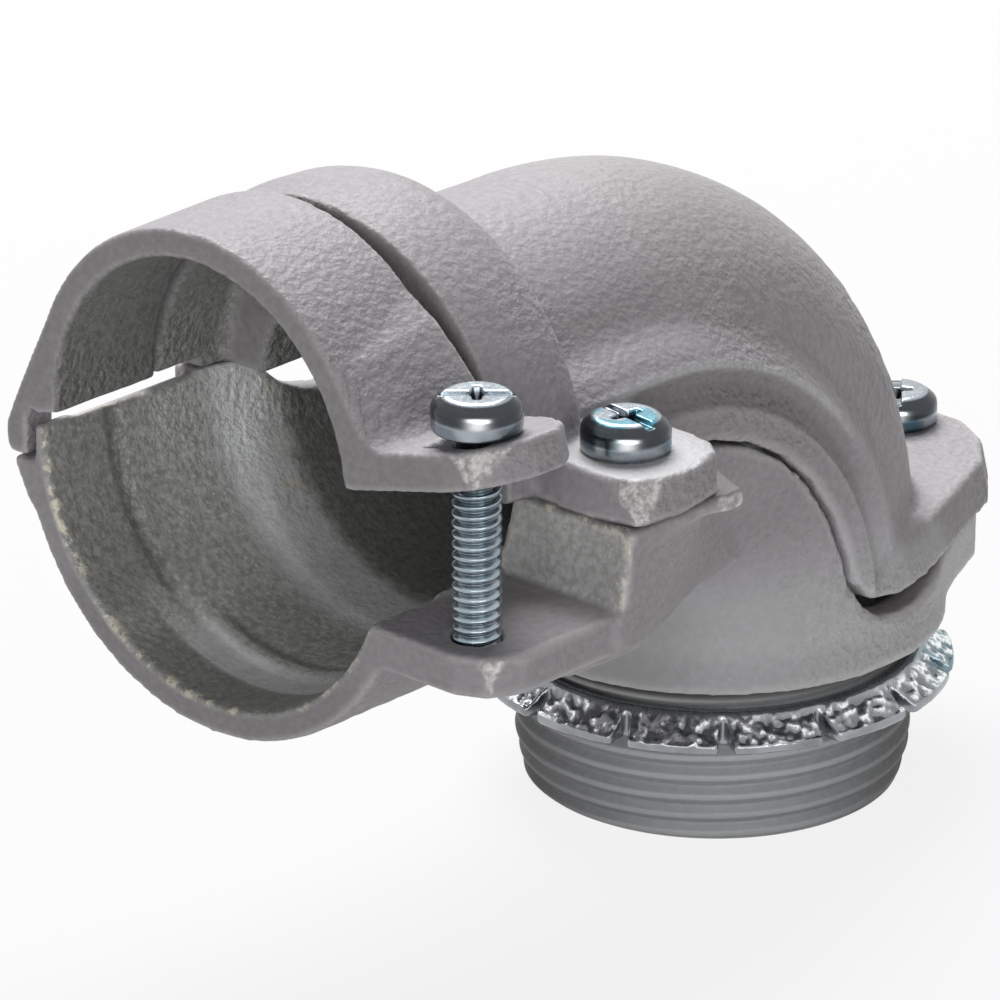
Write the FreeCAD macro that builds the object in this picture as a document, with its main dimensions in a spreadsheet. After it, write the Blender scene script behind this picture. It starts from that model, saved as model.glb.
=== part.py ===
"""Angle squeeze connector for flexible conduit, 1 1/4 trade size, millimetres.

Frame: Z is the axis of the threaded hub and points up, the hub hangs below the seat at Z = 0.
The mouth that takes the conduit looks along -X, the lugs with the front screws stand out along -Y.
"""
import os

import FreeCAD
import Part
import Sketcher

SIZES = [
    ("hub_rad", 20.95),
    ("hub_len", 18.4),
    ("hub_wall", 3.65),
    ("hub_neck", 0.35),
    ("hub_bevel", 1.05),
    ("hub_taper", 5.0),
    ("seat_rad", 24.5),
    ("axis_high", 35.6),
    ("elbow_high", 33.8),
    ("elbow_out", 24.1),
    ("bend_inner", 1.4),
    ("elbow_in", 20.2),
    ("dome_out", 20.8),
    ("dome_in", 17.0),
    ("mouth_far", 75.0),
    ("trough_out", 26.1),
    ("trough_in", 22.3),
    ("mouth_in", 23.0),
    ("mouth_step", 65.0),
    ("stop_front", 50.0),
    ("shoulder_long", 9.0),
    ("shoulder_in", 19.4),
    ("collar_front", 59.8),
    ("collar_back", 47.4),
    ("collar_lip", 25.2),
    ("collar_mid", 25.9),
    ("collar_end", 24.4),
    ("seam_far", 33.5),
    ("seam_rad", 28.5),
    ("seam_top", 33.0),
    ("seam_gap", 0.4),
    ("flange_edge", 3.2),
    ("flange_root", 7.5),
    ("ridge_side", 21.5),
    ("foot_low", 5.2),
    ("heel_top", 7.5),
    ("foot_high", 12.4),
    ("heel_far", 36.0),
    ("lug_out", 37.4),
    ("lug_top", 27.1),
    ("lug_thick", 4.2),
    ("pad_out", 39.2),
    ("pad_thick", 2.0),
    ("ear_thick", 4.4),
    ("clamp_far", 69.6),
    ("screw_side", 30.6),
    ("cover_far", 48.5),
    ("heel_screw", 29.5),
    ("strap_back", 61.0),
    ("strap_in", 19.6),
    ("strap_out", 22.6),
    ("strap_flare", 22.9),
    ("arch_side", 24.8),
    ("lug_reach", 8.3),
    ("strap_plate", 3.9),
    ("pivot_side", 25.5),
    ("pivot_high", 32.6),
    ("open_angle", 14.0),
    ("ledge_out", 27.2),
    ("ledge_drop", 1.0),
    ("rib_out", 24.3),
    ("hook_long", 4.4),
    ("rim_low", 35.3),
    ("screw_rad", 2.41),
    ("head_rad", 4.45),
    ("head_high", 3.6),
    ("clamp_length", 25.4),
    ("cover_length", 11.1),
    ("thread_play", 0.08),
    ("hole_play", 0.4),
    ("head_lift", 48.2),
    ("nut_drop", 2.8),
    ("nut_thick", 3.6),
    ("nut_play", 0.3),
    ("nut_dish", 1.9),
    ("nut_reach", 4.45),
    ("nut_lobes", 14),
]

doc = FreeCAD.newDocument("connector")
sheet = doc.addObject("Spreadsheet::Sheet", "Sizes")
VALUES = {}
for row, (alias, value) in enumerate(SIZES, start=1):
    sheet.set("A%d" % row, alias)
    sheet.set("B%d" % row, str(value))
    sheet.setAlias("B%d" % row, alias)
    VALUES[alias] = float(value)
doc.recompute()


class Size:
    """A number together with the sheet expression that gives it."""

    def __init__(self, value, text):
        self.value = value
        self.text = text

    def __add__(self, other):
        other = size(other)
        return Size(self.value + other.value, "(%s + %s)" % (self.text, other.text))

    def __sub__(self, other):
        other = size(other)
        return Size(self.value - other.value, "(%s - %s)" % (self.text, other.text))

    def __mul__(self, other):
        other = size(other)
        return Size(self.value * other.value, "(%s * %s)" % (self.text, other.text))

    def __neg__(self):
        return Size(-self.value, "(0 - %s)" % self.text)


def size(item):
    """Turns an alias, a number or a Size into a Size."""
    if isinstance(item, Size):
        return item
    if isinstance(item, str):
        return Size(VALUES[item], "Sizes.%s" % item)
    return Size(float(item), "(%.4f)" % float(item))


def drive(thing, prop, item):
    """Binds one property to its sheet expression."""
    thing.setExpression(prop, size(item).text)


TURN = {
    "x": FreeCAD.Rotation(FreeCAD.Vector(0, 1, 0), 90),
    "y": FreeCAD.Rotation(FreeCAD.Vector(1, 0, 0), -90),
    "z": FreeCAD.Rotation(),
}
PLANE = {
    "XY": FreeCAD.Rotation(),
    "XZ": FreeCAD.Rotation(FreeCAD.Vector(1, 0, 0), 90),
    "YZ": FreeCAD.Rotation(FreeCAD.Vector(1, 1, 1), 120),
}
NORMAL = {
    "XY": FreeCAD.Vector(0, 0, 1),
    "XZ": FreeCAD.Vector(0, -1, 0),
    "YZ": FreeCAD.Vector(1, 0, 0),
}


def place(thing, x, y, z):
    """Binds the base point of a solid."""
    drive(thing, "Placement.Base.x", x)
    drive(thing, "Placement.Base.y", y)
    drive(thing, "Placement.Base.z", z)


def rod(name, axis, radius, length, x, y, z):
    """A round bar that starts at the point and runs along +axis."""
    bar = doc.addObject("Part::Cylinder", name)
    bar.Placement = FreeCAD.Placement(FreeCAD.Vector(), TURN[axis])
    drive(bar, "Radius", radius)
    drive(bar, "Height", length)
    place(bar, x, y, z)
    return bar


def taper(name, axis, first, last, length, x, y, z):
    """A cone frustum that starts at the point and runs along +axis."""
    cone = doc.addObject("Part::Cone", name)
    cone.Placement = FreeCAD.Placement(FreeCAD.Vector(), TURN[axis])
    drive(cone, "Radius1", first)
    drive(cone, "Radius2", last)
    drive(cone, "Height", length)
    place(cone, x, y, z)
    return cone


def block(name, long, wide, high, x, y, z):
    """A square-edged block with its low corner at the point."""
    box = doc.addObject("Part::Box", name)
    drive(box, "Length", long)
    drive(box, "Width", wide)
    drive(box, "Height", high)
    place(box, x, y, z)
    return box


def bend_line():
    """Radius of the bend's centre line."""
    return size("elbow_out") + "bend_inner"


def bend(name, radius):
    """A quarter elbow of the given tube radius between the hub axis and the mouth axis."""
    turn = doc.addObject("Part::Torus", name)
    upright = FreeCAD.Rotation(FreeCAD.Vector(1, 0, 0), 90)
    turn.Placement = FreeCAD.Placement(FreeCAD.Vector(), upright)
    drive(turn, "Radius1", bend_line())
    drive(turn, "Radius2", radius)
    turn.Angle3 = 90
    place(turn, -bend_line(), 0, size("elbow_high") - bend_line())
    return turn


def outline(name, plane, points):
    """A closed outline of straight edges, every corner bound to the sheet."""
    sketch = doc.addObject("Sketcher::SketchObject", name)
    sketch.Placement = FreeCAD.Placement(FreeCAD.Vector(), PLANE[plane])
    trace(sketch, points)
    return sketch


def trace(sketch, points):
    """Draws the edges of an outline and ties its corners."""
    pairs = [(size(u), size(v)) for u, v in points]
    spots = [FreeCAD.Vector(u.value, v.value, 0) for u, v in pairs]
    count = len(spots)
    first = sketch.GeometryCount
    for index in range(count):
        edge = Part.LineSegment(spots[index], spots[(index + 1) % count])
        sketch.addGeometry(edge, False)
    for index in range(count):
        after = first + (index + 1) % count
        sketch.addConstraint(Sketcher.Constraint("Coincident", first + index, 2, after, 1))
    for index, (u, v) in enumerate(pairs):
        spot = first + index
        row = sketch.addConstraint(Sketcher.Constraint("DistanceX", -1, 1, spot, 1, u.value))
        sketch.setExpression("Constraints[%d]" % row, u.text)
        row = sketch.addConstraint(Sketcher.Constraint("DistanceY", -1, 1, spot, 1, v.value))
        sketch.setExpression("Constraints[%d]" % row, v.text)


def slab(name, plane, points, start, length):
    """An outline drawn out along its plane's normal from the given start."""
    sketch = outline(name + "_outline", plane, points)
    normal = NORMAL[plane]
    for letter, part in (("x", normal.x), ("y", normal.y), ("z", normal.z)):
        if part:
            drive(sketch, "Placement.Base." + letter, size(start) * part)
    solid = doc.addObject("Part::Extrusion", name)
    solid.Base = sketch
    solid.DirMode = "Custom"
    solid.Dir = normal
    solid.Solid = True
    drive(solid, "LengthFwd", length)
    return solid


def spin(name, points, high):
    """A turned solid about a line along X at the given height, corners as (x, radius)."""
    lifted = [(u, size(v) + high) for u, v in points]
    sketch = outline(name + "_outline", "XZ", lifted)
    solid = doc.addObject("Part::Revolution", name)
    solid.Source = sketch
    solid.Axis = FreeCAD.Vector(1, 0, 0)
    drive(solid, "Base.z", high)
    solid.Angle = 360
    solid.Solid = True
    return solid


def blend(name, plane, first, first_at, last, last_at):
    """A straight-sided solid between two outlines, along X from the mouth view or along Z from the plan."""
    letter = {"YZ": "x", "XY": "z"}[plane]
    ends = []
    for mark, points, spot in (("first", first, first_at), ("last", last, last_at)):
        sketch = outline("%s_%s" % (name, mark), plane, points)
        drive(sketch, "Placement.Base." + letter, spot)
        ends.append(sketch)
    solid = doc.addObject("Part::Loft", name)
    solid.Sections = ends
    solid.Solid = True
    solid.Ruled = True
    return solid


def join(name, *parts):
    """One solid of several."""
    whole = doc.addObject("Part::MultiFuse", name)
    whole.Shapes = list(parts)
    whole.Refine = True
    return whole


def meet(name, *parts):
    """What several solids have in common."""
    shared = doc.addObject("Part::MultiCommon", name)
    shared.Shapes = list(parts)
    return shared


def carve(name, base, tool):
    """A solid less another."""
    rest = doc.addObject("Part::Cut", name)
    rest.Base = base
    rest.Tool = tool
    rest.Refine = True
    return rest


def back(*pairs):
    """Plan corners given as distance to the mouth side and to the near side."""
    return [(-size(u), -size(v)) for u, v in pairs]


def both(pairs):
    """The same plan corners on the other side, in turn."""
    return [(u, -v) for u, v in pairs[::-1]]


def side(*pairs):
    """Side view corners given as distance to the mouth side and height."""
    return [(-size(u), size(v)) for u, v in pairs]


def front(*pairs):
    """Mouth view corners given as distance to the near side and height."""
    return [(-size(u), size(v)) for u, v in pairs]


# Outer elbow that the body and the flange of the cover share.
def elbow(name, radius, far, low):
    high = size("elbow_high")
    drop = high - bend_line()
    arm = rod(name + "_arm", "x", radius, size(far) - bend_line(), -size(far), 0, high)
    leg = rod(name + "_leg", "z", radius, drop - low, 0, 0, low)
    return join(name, bend(name + "_bend", radius), arm, leg)


QUARTER = ((0.0, 1.0), (0.2079, 0.9781), (0.4067, 0.9135), (0.5878, 0.8090),
           (0.7431, 0.6691), (0.8660, 0.5), (0.9511, 0.3090), (0.9781, 0.2079))


# Seam between body and cover: level at the mouth, a quarter round past the elbow, a rise to the heel.
def seam_points(gap, corner, rise):
    reach = size("seam_rad") + gap
    base = size("seam_top") - "seam_rad"
    low = size("foot_low")
    edge = size("seam_far") - "seam_rad"
    points = [(size("seam_far") + 4.0, "axis_high")]
    for sine, cosine in QUARTER:
        points.append((size("seam_far") - reach * sine, base + reach * cosine))
    for shift, lift in corner:
        points.append((edge - shift, low + lift))
    points.append((edge - rise, "heel_top"))
    return points


BODY_CORNER = ((0.1, 4.2), (1.3, 2.4), (3.6, 0.7), (7.0, 0.1), (10.5, 0.0))
COVER_CORNER = ((0.7, 4.6), (2.0, 3.2), (4.0, 2.1), (9.4, 1.5))

# Body casting.
nut_low = -size("nut_drop") - "nut_thick"
stem_top = nut_low - "nut_play"
stem_low = size("hub_taper") - "hub_len"
neck_rad = size("hub_rad") - "hub_neck"
hub = rod("hub_stem", "z", "hub_rad", stem_top - stem_low, 0, 0, stem_low)
hub_neck = rod("hub_neck_stem", "z", neck_rad, size(2) - stem_low - 1, 0, 0, stem_low + 1)
hub_end = size("hub_rad") - "hub_bevel"
hub_tip = taper("hub_tip", "z", hub_end, "hub_rad", "hub_taper", 0, 0, -size("hub_len"))
start = -size("mouth_far")
trough = rod("trough_shell", "x", "trough_out", size("mouth_far") - 44, start, 0, "axis_high")
bell = elbow("bell", "elbow_out", 46.0, 0)
rim = taper("seat_rim", "z", "seat_rad", size("elbow_out") - 0.2, 6.0, 0, 0, 0)
front_far = size("cover_far")
out = size("lug_out")
low = size("lug_top")
ear_under = back(
    (front_far + 9, 12), (front_far + 9, out + 0.4), (front_far + 3.5, out - 1.8), (front_far - 2, out - 5),
    (front_far - 8.5, out - 8.8), (front_far - 16, out - 12.2), (front_far - 23.5, out - 14.8),
    (front_far - 30, out - 17.8), (front_far - 34, 12))
ear_over = back(
    (front_far + 9, 12), (front_far + 9, out + 0.9), (front_far + 3.5, out + 0.7),
    (front_far - 2, out + 0.2),
    (front_far - 6.5, out - 1), (front_far - 10, out - 4.9), (front_far - 14, out - 10.4),
    (front_far - 20.5, out - 15.4), (front_far - 34, 12))
ear_plan = blend("ear_plan", "XY", ear_under, low - 11.1, ear_over, size("axis_high") + 0.9)
ear_high = size("axis_high") + 1.4
ear_face = slab("ear_face", "YZ", front(
    (12, low - 7.1), (17.5, low - 11.1), (out - 12.4, low - 10.5), (out - 6.4, low - 8.3),
    (out - 0.8, low - 4.9), (out + 1.2, low - 2.1), (out + 1.6, ear_high), (12, ear_high)),
    -front_far - 10.5, 46.0)
ear = meet("ear", ear_plan, ear_face)
lug = slab("clamp_lug", "XY", back(
    ("mouth_far", 12), ("mouth_far", out - 4.9), (size("clamp_far") + 4, out - 1.8),
    (size("clamp_far") + 0.8, out), (front_far + 8.5, out), (front_far + 4.9, out - 1),
    (front_far + 3.5, out - 4.4), (front_far + 3.5, 12)), low - "lug_thick", "lug_thick")
pad_end = size("pad_out")
pad = slab("cover_pad", "XY", back(
    (front_far + 8.5, 18), (front_far + 8.5, pad_end - 3.2), (front_far + 5.5, pad_end - 1.6),
    (front_far + 1.2, pad_end - 1), (front_far - 4, pad_end - 1.3), (front_far - 5.9, pad_end - 0.6),
    (front_far - 8.2, pad_end - 0.3), (front_far - 9.7, pad_end - 4), (front_far - 14, pad_end - 13),
    (front_far - 16.5, 20)),
    size("axis_high") - "pad_thick", "pad_thick")
ledge_high = size("pivot_high") - "ledge_drop"
ledge_end = -size("ledge_out")
ledge = slab("hook_ledge", "YZ", front(
    (-21, 30), (-24.2, 26), (-25.6, 27.6), (-27, 30.4), (ledge_end, 31.4),
    (ledge_end + 0.3, ledge_high), (-22, ledge_high)), start, size("mouth_far") - "strap_back" + 0.6)
heel_end = -size("heel_far")
seat_near = ((8, 17), (-4, 22.4), (-11, 20.9), (-17.5, 18), (-25.5, 14.6), (-30.3, 10.6),
             (heel_end + 2.4, 5))
heel = slab("body_heel", "XY", back(*seat_near, *both(seat_near)), 1.6, size("heel_top") - 1.6)
solid = join("body_solid", hub, hub_neck, hub_tip, trough, bell, rim, ear, lug, pad, ledge, heel)

room = elbow("chamber_room", "elbow_in", size("stop_front") + 1, 3.4)
bore_rad = size("hub_rad") - "hub_wall"
bore = rod("hub_bore_cut", "z", bore_rad, size("hub_len") + 6, 0, 0, -size("hub_len") - 1)
shoulder_at = -size("stop_front") - 2
seat_bore = rod("seat_bore", "x", "trough_in", shoulder_at - start + 2, start - 2, 0, "axis_high")
shoulder = taper("seat_shoulder", "x", "trough_in", "shoulder_in", "shoulder_long", shoulder_at, 0,
                 "axis_high")
mouth_deep = size("mouth_far") - "mouth_step" + 2
mouth_bore = rod("mouth_bore", "x", "mouth_in", mouth_deep, start - 2, 0, "axis_high")
above = slab("body_above", "XZ", side(
    (90, 90), (90, "axis_high"), *seam_points(0, BODY_CORNER, 22.5),
    (-60, "heel_top"), (-60, 90)), -45.0, 90.0)
squeeze = slab("squeeze_gap", "XZ", side(
    (90, "lug_top"), (front_far + 8.3, "lug_top"), (front_far + 7.3, size("axis_high") + 0.1),
    (front_far + 7.3, 60), (90, 60)), 3.0, 42.0)
hook_room = block("hook_room", size("mouth_far") - 51.8, 12, 12, start - 2, "rib_out", ledge_high)
rim_long = size("mouth_far") - "hook_long" - 53.8
rim_room = block("rim_room", rim_long, 20, 12, start + "hook_long", 12, "rim_low")
slit_from = size("collar_back") - 0.8
level = size("axis_high")
slit = slab("far_slit", "XZ", side(
    (slit_from, level + 1), (slit_from, level - 1), (slit_from - 3.1, level - 3.6),
    (slit_from - 5.9, level - 4.9), (slit_from - 10.6, level - 6), (slit_from - 12.8, level - 4.4),
    (slit_from - 12.8, level + 1)), -32.0, 20.0)
tap_rad = size("screw_rad") + "thread_play"
clamp_tap = rod("clamp_tap", "z", tap_rad, 12, -size("clamp_far"), -size("screw_side"), size("lug_top") - 8)
cover_tap = rod("cover_tap", "z", tap_rad, 14, -front_far, -size("screw_side"), size("axis_high") - 11)
heel_tap = rod("heel_tap", "z", tap_rad, 12, "heel_screw", 0, -4)
hollow = join("body_hollow", room, bore, seat_bore, shoulder, mouth_bore, above, squeeze, hook_room,
              rim_room, slit, clamp_tap, cover_tap, heel_tap)
body = carve("body_cut", solid, hollow)
body.Label = "body_casting"

# Cover casting.
dome = elbow("dome", "dome_out", size("collar_back") + 2.1, size("foot_low"))
collar_to = -size("collar_front")
collar_at = -size("collar_back")
collar = spin("collar", (
    (collar_to, 0), (collar_to, "collar_lip"), (collar_to + 5.2, "collar_mid"),
    (collar_at - 2.6, size("collar_mid") - 0.2), (collar_at - 1.0, size("collar_mid") - 0.7),
    (collar_at, "collar_end"), (collar_at, 0)), "axis_high")
reach = size("seam_rad") + "seam_gap"
seam_base = size("seam_top") - "seam_rad"
inner = reach - 3 - "seam_far"
rim_side = size("elbow_out") - 0.3
ridge_out = size("ridge_side")
edge = size("flange_edge")
root = size("flange_root")
flange_step = ((root + 2.8, ridge_out - 1.7), (root, ridge_out + 1.1), (root - 2.1, ridge_out),
               (edge + 1.0, ridge_out + 0.5), (edge, rim_side))
near_half = [(reach - "seam_far" + above_seam, -across) for above_seam, across in flange_step]
far_half = [(reach - "seam_far" + above_seam, across) for above_seam, across in flange_step]
band_points = [(inner, rim_side), (inner, -rim_side)] + near_half[::-1] + far_half
band = outline("flange_bend_outline", "XY", band_points)
drive(band, "Placement.Base.z", seam_base)
flange_bend = doc.addObject("Part::Revolution", "flange_bend")
flange_bend.Source = band
flange_bend.Axis = FreeCAD.Vector(0, -1, 0)
drive(flange_bend, "Base.x", -size("seam_far"))
drive(flange_bend, "Base.z", seam_base)
flange_bend.Angle = 90
flange_bend.Solid = True
arm_low = size("seam_top") - 2
arm_seam = size("seam_top") + "seam_gap"
near_arm = [(rim_side, arm_low)]
near_arm += [(across, arm_seam + above_seam) for above_seam, across in flange_step[::-1]]
far_arm = [(-across, high) for across, high in near_arm]
arm_long = front_far - 0.5 - "seam_far"
flange_arm = slab("flange_arm", "YZ", front(*near_arm, *far_arm[::-1]), -front_far + 0.5, arm_long)
ear_low = back(
    (front_far + 7.8, 18), (front_far + 8.3, pad_end - 6.2), (front_far + 7.1, pad_end - 1),
    (front_far + 6.5, pad_end - 0.5), (front_far + 1.2, pad_end), (front_far - 4.9, pad_end - 1),
    (front_far - 6.9, pad_end - 3.2), (front_far - 8.1, 25), (front_far - 12.5, 18))
ear_top = back(
    (front_far + 6.1, 18), (front_far + 6.7, pad_end - 5.6), (front_far + 5.8, pad_end - 2.3),
    (front_far + 3.4, pad_end - 0.8), (front_far - 1, pad_end - 0.2), (front_far - 5.5, pad_end - 1.7),
    (front_far - 7.3, pad_end - 4), (front_far - 8.3, 25), (front_far - 12.7, 18))
ear_end = size("axis_high") + "ear_thick"
cover_ear = blend("cover_ear", "XY", ear_low, "axis_high", ear_top, ear_end)
heel_low = ((8, 18), (2, 23.7), (-3, 23.5), (-10, 22.3), (-18, 19.2), (-27, 15.6), (-32.8, 11),
            (heel_end, 5.2))
heel_high = ((8, 17.5), (-2, 21.9), (-5.5, 21.6), (-11, 20.2), (-18.5, 17.4), (-27, 14), (-31.9, 9.9),
             (heel_end + 1.2, 4.8))
cover_heel = blend("cover_heel", "XY", back(*heel_low, *both(heel_low)), "foot_low",
                   back(*heel_high, *both(heel_high)), "foot_high")
collar_slit = block("collar_slit", 6.8, 20, 12, collar_to - 0.4, 12, size("axis_high") + 1.4 - 12)
dome_flanged = join("dome_flanged", dome, flange_bend)
dome_heeled = join("dome_heeled", dome_flanged, cover_heel)
dome_armed = join("dome_armed", dome_heeled, flange_arm)
crown = join("cover_solid", dome_armed, collar, cover_ear)
dome_room = elbow("dome_room", "dome_in", size("stop_front") + 2, size("foot_low") - 2)
collar_room = rod("collar_room", "x", "trough_in", 20, -size("stop_front") - 20, 0, "axis_high")
below = slab("cover_below", "XZ", side(
    (90, -20), (90, "axis_high"), *seam_points("seam_gap", COVER_CORNER, 21.5),
    (-60, "heel_top"), (-60, -20)), -45.0, 90.0)
pass_rad = size("screw_rad") + "hole_play"
ear_hole = rod("ear_hole", "z", pass_rad, 14, -front_far, -size("screw_side"), size("axis_high") - 4)
heel_hole = rod("heel_hole", "z", pass_rad, 20, "heel_screw", 0, 0)
cover_hollow = join("cover_hollow", dome_room, collar_room, below, collar_slit, ear_hole, heel_hole)
cover = carve("cover_cut", crown, cover_hollow)
cover.Label = "cover"

# Strap, drawn shut about its hook and then swung open.
span = size("mouth_far") - "strap_back"
arch = taper("arch_blank", "x", "strap_out", "strap_flare", span, start, -size("arch_side"), -0.1)
far_cut = block("arch_far_cut", span + 2, 40, 40, start - 1, -size("arch_side"), 3.62 - 40)
plate_low = size(0.5) - "strap_plate"
near_cut = block("arch_near_cut", span + 2, 40, 40, start - 1, -size("arch_side") - 40, plate_low - 40)
arch_cut = carve("arch", carve("arch_far", arch, far_cut), near_cut)
screw_at = size("pivot_side") + "screw_side"
tip = screw_at + "lug_reach"
mouth_at = size("mouth_far")
back_at = size("strap_back")
tongue = slab("strap_tongue", "XY", back(
    (mouth_at, 40), (mouth_at, tip - 6.6), (mouth_at - 0.9, tip - 3.9), (mouth_at - 3.0, tip - 1.5),
    (mouth_at - 6.4, tip - 0.1), (back_at + 4.2, tip), (back_at + 1.6, tip - 1.6),
    (back_at + 0.2, tip - 4.6), (back_at, 40)), plate_low, "strap_plate")
cheek_front = front((43, 0), (49.6, 0.3), (48.2, 1.7), (47.3, 4.2), (45.8, 8.0), (42.5, 11.5))
cheek_back = front((43, 0), (53.0, 0.3), (51.7, 1.9), (50.6, 4.0), (47.1, 9.6), (42.3, 14.2))
cheek = blend("strap_cheek", "YZ", cheek_front, start, cheek_back, start + span)
toe = slab("strap_toe", "YZ", front(
    (-0.22, -0.85), (-2.35, -0.25), (-2.62, 0.6), (-2.5, 1.94), (-2.06, 3.0), (-0.43, 5.06),
    (3.18, 9.4), (6.6, 13.3), (9.0, 12.0), (5.6, 3.62), (1.2, 4.1)), start, size("hook_long") - 0.4)
arch_room = rod("arch_room", "x", "strap_in", span + 2, start - 1, -size("arch_side"), -0.1)
slot_wide = (size("screw_rad") + "hole_play") * 2
slot_from = -size("clamp_far") - "screw_rad" - "hole_play"
slot = block("strap_slot", slot_wide, 7.5, 20, slot_from, -screw_at - 4.7, -10)
strap_solid = join("strap_solid", arch_cut, tongue, cheek, toe)
strap = carve("strap_cut", strap_solid, join("strap_hollow", arch_room, slot))
swing = FreeCAD.Rotation(FreeCAD.Vector(1, 0, 0), -VALUES["open_angle"])
strap.Placement = FreeCAD.Placement(FreeCAD.Vector(), swing)
place(strap, 0, size("pivot_side"), "pivot_high")
strap.setExpression("Placement.Rotation.Axis.x", "1")
strap.setExpression("Placement.Rotation.Angle", "0 - Sizes.open_angle")
strap.Label = "strap"


def plane_of(part, role):
    """Origin plane or axis of a body by its role."""
    for feature in part.Origin.OriginFeatures:
        if feature.Role == role:
            return feature
    return None


def sketch_on(part, role, name):
    """A sketch on an origin plane of a body."""
    sketch = part.newObject("Sketcher::SketchObject", name)
    sketch.AttachmentSupport = [(plane_of(part, role), "")]
    sketch.MapMode = "FlatFace"
    return sketch


def make_screw(name, length, x, y, z):
    """A pan head machine screw with a slot and a cross, head up, seat of the head at the point."""
    part = doc.addObject("PartDesign::Body", name)
    profile = sketch_on(part, "XZ_Plane", name + "_profile")
    tip = -size(length)
    wide = size("head_rad")
    crown_at = size("head_high")
    trace(profile, (
        (0, tip), (size("screw_rad") - 0.7, tip), ("screw_rad", tip + 0.8), ("screw_rad", 0),
        (wide - 0.25, 0), (wide, 0.3), (wide, crown_at - 1.25), (wide - 0.35, crown_at - 0.7),
        (wide - 1.3, crown_at), (0, crown_at)))
    turned = part.newObject("PartDesign::Revolution", name + "_turned")
    turned.Profile = profile
    turned.ReferenceAxis = (plane_of(part, "Z_Axis"), [""])
    turned.Angle = 360
    doc.recompute()
    cross = sketch_on(part, "XY_Plane", name + "_cross")
    drive(cross, "AttachmentOffset.Base.z", "head_high")
    arm = 2.5
    half = 0.55
    reach_out = 3.7
    trace(cross, (
        (reach_out, -half), (reach_out, half), (half, half), (half, arm), (-half, arm), (-half, half),
        (-reach_out, half), (-reach_out, -half), (-half, -half), (-half, -arm), (half, -arm),
        (half, -half)))
    recess = part.newObject("PartDesign::Pocket", name + "_recess")
    recess.Profile = cross
    recess.Length = 1.5
    place(part, x, y, z)
    part.Label = name
    return part


near_at = -size("screw_side")
strap_screw = make_screw("strap_screw", "clamp_length", -size("clamp_far"), near_at, "head_lift")
front_screw = make_screw("front_cover_screw", "cover_length", -front_far, near_at, ear_end)
back_screw = make_screw("back_cover_screw", "cover_length", "heel_screw", 0, "foot_high")

# Locknut: a dished ring with notches between its lobes.
nut = doc.addObject("PartDesign::Body", "locknut")
ring_sketch = sketch_on(nut, "XZ_Plane", "nut_ring_sketch")
bore_at = neck_rad + "nut_play"
lobe = size("hub_rad") + "nut_reach"
rim_top = size("nut_thick") - "nut_dish"
trace(ring_sketch, (
    (bore_at, 0), (lobe - 0.5, 0), (lobe, 0.4), (lobe, rim_top - 0.3), (lobe - 0.7, rim_top),
    (bore_at + 1.1, "nut_thick"), (bore_at, "nut_thick")))
ring_turn = nut.newObject("PartDesign::Revolution", "nut_ring_turn")
ring_turn.Profile = ring_sketch
ring_turn.ReferenceAxis = (plane_of(nut, "Z_Axis"), [""])
ring_turn.Angle = 360
doc.recompute()
notch_sketch = sketch_on(nut, "XY_Plane", "nut_notch_sketch")
NOTCH_COS = 0.99091
NOTCH_SIN = -0.13451
notch = []
for out_at, across in ((lobe - 3.0, -0.3), (lobe + 1.0, -0.8), (lobe + 1.0, 1.5), (lobe - 3.0, 0.4)):
    notch.append((out_at * NOTCH_COS - across * NOTCH_SIN, out_at * NOTCH_SIN + across * NOTCH_COS))
trace(notch_sketch, notch)
notch_cut = nut.newObject("PartDesign::Pocket", "nut_notch_cut")
notch_cut.Profile = notch_sketch
notch_cut.Reversed = True
drive(notch_cut, "Length", size("nut_thick") + 1)
doc.recompute()
lobes = nut.newObject("PartDesign::PolarPattern", "nut_lobes_all")
lobes.Originals = [notch_cut]
lobes.Axis = (plane_of(nut, "Z_Axis"), [""])
lobes.Angle = 360
drive(lobes, "Occurrences", "nut_lobes")
nut.Tip = lobes
place(nut, 0, 0, nut_low)
nut.Label = "locknut"

doc.recompute()

for thing in doc.Objects:
    if "Invalid" in thing.State or "Error" in thing.State:
        raise RuntimeError("%s did not build: %s" % (thing.Name, thing.State))

os.makedirs("parts", exist_ok=True)
for piece in (body, cover, strap, strap_screw, front_screw, back_screw, nut):
    shape = piece.Shape
    if shape.isNull() or not shape.isValid() or len(shape.Solids) != 1:
        raise RuntimeError("%s has %d solids, valid %s" % (piece.Label, len(shape.Solids), shape.isValid()))
    box = shape.BoundBox
    print("%s volume %.1f box %.2f %.2f %.2f to %.2f %.2f %.2f" % (
        piece.Label, shape.Volume, box.XMin, box.YMin, box.ZMin, box.XMax, box.YMax, box.ZMax))
    shape.exportStep("parts/%s.step" % piece.Label)
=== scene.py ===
import math

import bpy
import numpy as np
from mathutils import Matrix, Vector
from mathutils.bvhtree import BVHTree


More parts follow.
